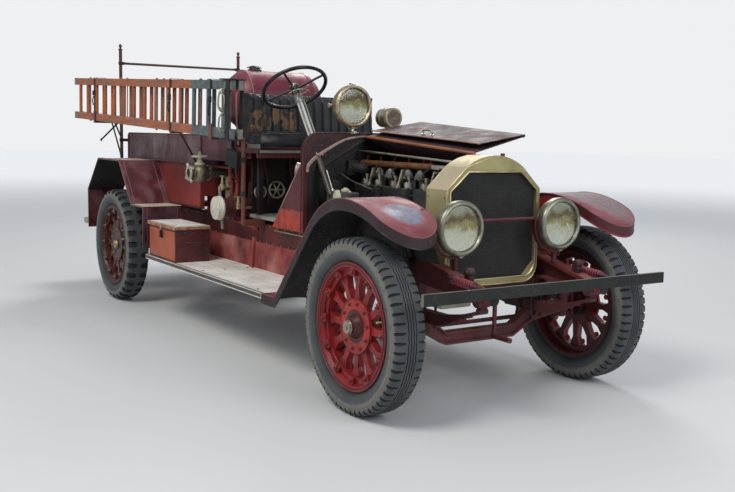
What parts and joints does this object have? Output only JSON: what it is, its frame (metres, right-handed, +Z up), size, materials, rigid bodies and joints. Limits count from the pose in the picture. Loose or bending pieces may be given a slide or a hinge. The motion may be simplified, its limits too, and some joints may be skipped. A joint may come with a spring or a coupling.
{
  "type": "vintage open-cab fire pumper",
  "caption": "Open-cab fire pumper with right-hand drive: spoked wheels, brass radiator, raised bonnet leaves, midship pump, hose body, tank and side ladders.",
  "frame": {"origin": "on the ground at the centre of the length and width", "axes": "+X towards the front, +Y towards the vehicle's left, +Z up"},
  "size_m": [5.976, 1.8, 2.292],
  "materials": {
    "red_paint": "old enamel, dull and chalky",
    "orange_red_paint": "faded enamel",
    "wheel_red": "gloss enamel",
    "tank_paint": "gloss enamel",
    "dark_steel": "black enamel, worn",
    "cast_iron": "as cast",
    "aluminium": "cast, dull",
    "brass": "dull, tarnished",
    "nickel": "old nickel plate",
    "rubber": "dusty",
    "leather": "pleated, worn",
    "varnished_wood": "varnished",
    "worn_wood": "bare, weathered",
    "black_plastic": "hard rubber",
    "core_black": "flat black fins"
  },
  "bodies": {
    "chassis": {"frame_rails": "red_paint", "leaf_springs": "dark_steel", "front_axle": "red_paint", "rear_axle": "red_paint", "driveline": "cast_iron", "engine_crankcase": "aluminium", "engine_cylinders": "cast_iron", "engine_fittings": "nickel", "engine_manifolds": "cast_iron", "radiator_stay": "nickel", "exhaust": "cast_iron", "radiator_shell": "brass", "radiator_core": "core_black", "dash_panel": "red_paint", "bonnet_left": "red_paint", "bonnet_ridge": "red_paint", "headlamps": "nickel", "headlamp_brackets": "red_paint", "spotlight": "nickel", "siren": "nickel", "bumper": "dark_steel", "front_fender_left": "red_paint", "front_fender_right": "red_paint", "rear_fenders": "red_paint", "running_boards": "worn_wood", "floor_boards": "dark_steel", "seat_frame": "red_paint", "seat_cushion": "leather", "seat_back": "leather", "steering_column": "brass", "hand_levers": "nickel", "pump": "red_paint", "discharge_valves": "brass", "hose_body": "red_paint", "tank_stand": "red_paint", "water_tank": "tank_paint", "hand_rails": "red_paint", "ladder_outer": "varnished_wood", "ladder_inner": "varnished_wood", "tail_step": "worn_wood", "toolbox_left": "orange_red_paint", "toolbox_right": "orange_red_paint"},
    "bonnet_right_top": {"bonnet_right_top": "red_paint"},
    "bonnet_right_side": {"bonnet_right_side": "red_paint"},
    "steering_wheel": {"steering_wheel": "black_plastic"},
    "starting_crank": {"starting_crank": "dark_steel"},
    "tie_rod": {"tie_rod": "dark_steel"},
    "knuckle_left": {"knuckle_left": "red_paint"},
    "knuckle_right": {"knuckle_right": "red_paint"},
    "toolbox_lid_left": {"toolbox_lid_left": "worn_wood"},
    "toolbox_lid_right": {"toolbox_lid_right": "worn_wood"},
    "front_wheel_left": {"front_wheel_left": "wheel_red", "front_tyre_left": "rubber"},
    "front_wheel_right": {"front_wheel_right": "wheel_red", "front_tyre_right": "rubber"},
    "rear_wheel_left": {"rear_wheel_left": "wheel_red", "rear_tyre_left": "rubber"},
    "rear_wheel_right": {"rear_wheel_right": "wheel_red", "rear_tyre_right": "rubber"}
  },
  "joints": [
    {"name": "steer_right", "type": "hinge", "parent": "chassis", "child": "knuckle_right", "pos_m": [2.368, -0.672, 0.477], "axis": [0, 0, 1], "range_deg": [-30, 30]},
    {"name": "steer_left", "type": "hinge", "parent": "chassis", "child": "knuckle_left", "pos_m": [2.368, 0.672, 0.477], "axis": [0, 0, 1], "range_deg": [-30, 30]},
    {"name": "tie_rod_pivot", "type": "hinge", "parent": "knuckle_right", "child": "tie_rod", "pos_m": [2.218, -0.672, 0.416], "axis": [0, 0, 1], "range_deg": [-30, 30]},
    {"name": "steering_wheel_turn", "type": "hinge", "parent": "chassis", "child": "steering_wheel", "pos_m": [0.771, -0.362, 1.804], "axis": [-0.5878, 0, 0.809], "range_deg": [-360, 360]},
    {"name": "starting_crank_turn", "type": "hinge", "parent": "chassis", "child": "starting_crank", "pos_m": [2.33, 0, 0.6], "axis": [1, 0, 0], "continuous": true},
    {"name": "bonnet_top_hinge", "type": "hinge", "parent": "chassis", "child": "bonnet_right_top", "pos_m": [1.126, 0, 1.478], "axis": [0.9976, 0, -0.0698], "range_deg": [0, 194]},
    {"name": "bonnet_side_hinge", "type": "hinge", "parent": "bonnet_right_top", "child": "bonnet_right_side", "pos_m": [1.14831, 0.44175, 1.58471], "axis": [0.9959, -0.0614, -0.0668], "range_deg": [-113.8, 0]},
    {"name": "toolbox_lid_right_hinge", "type": "hinge", "parent": "chassis", "child": "toolbox_lid_right", "pos_m": [-0.4145, -0.598, 0.7683], "axis": [-1, 0, 0], "range_deg": [0, 95]},
    {"name": "toolbox_lid_left_hinge", "type": "hinge", "parent": "chassis", "child": "toolbox_lid_left", "pos_m": [-0.4145, 0.598, 0.7683], "axis": [1, 0, 0], "range_deg": [0, 95]},
    {"name": "front_wheel_left_spin", "type": "hinge", "parent": "knuckle_left", "child": "front_wheel_left", "pos_m": [2.368, 0.805, 0.477], "axis": [0, 1, 0], "continuous": true},
    {"name": "front_wheel_right_spin", "type": "hinge", "parent": "knuckle_right", "child": "front_wheel_right", "pos_m": [2.368, -0.805, 0.477], "axis": [0, 1, 0], "continuous": true},
    {"name": "rear_wheel_left_spin", "type": "hinge", "parent": "chassis", "child": "rear_wheel_left", "pos_m": [-1.632, 0.805, 0.486], "axis": [0, 1, 0], "continuous": true},
    {"name": "rear_wheel_right_spin", "type": "hinge", "parent": "chassis", "child": "rear_wheel_right", "pos_m": [-1.632, -0.805, 0.486], "axis": [0, 1, 0], "continuous": true}
  ],
  "couplings": [
    {"joint": "steer_left", "follows": "steer_right", "ratio": 1},
    {"joint": "tie_rod_pivot", "follows": "steer_right", "ratio": -1},
    {"joint": "steering_wheel_turn", "follows": "steer_right", "ratio": 12},
    {"joint": "bonnet_side_hinge", "follows": "bonnet_top_hinge", "ratio": -0.5866}
  ]
}
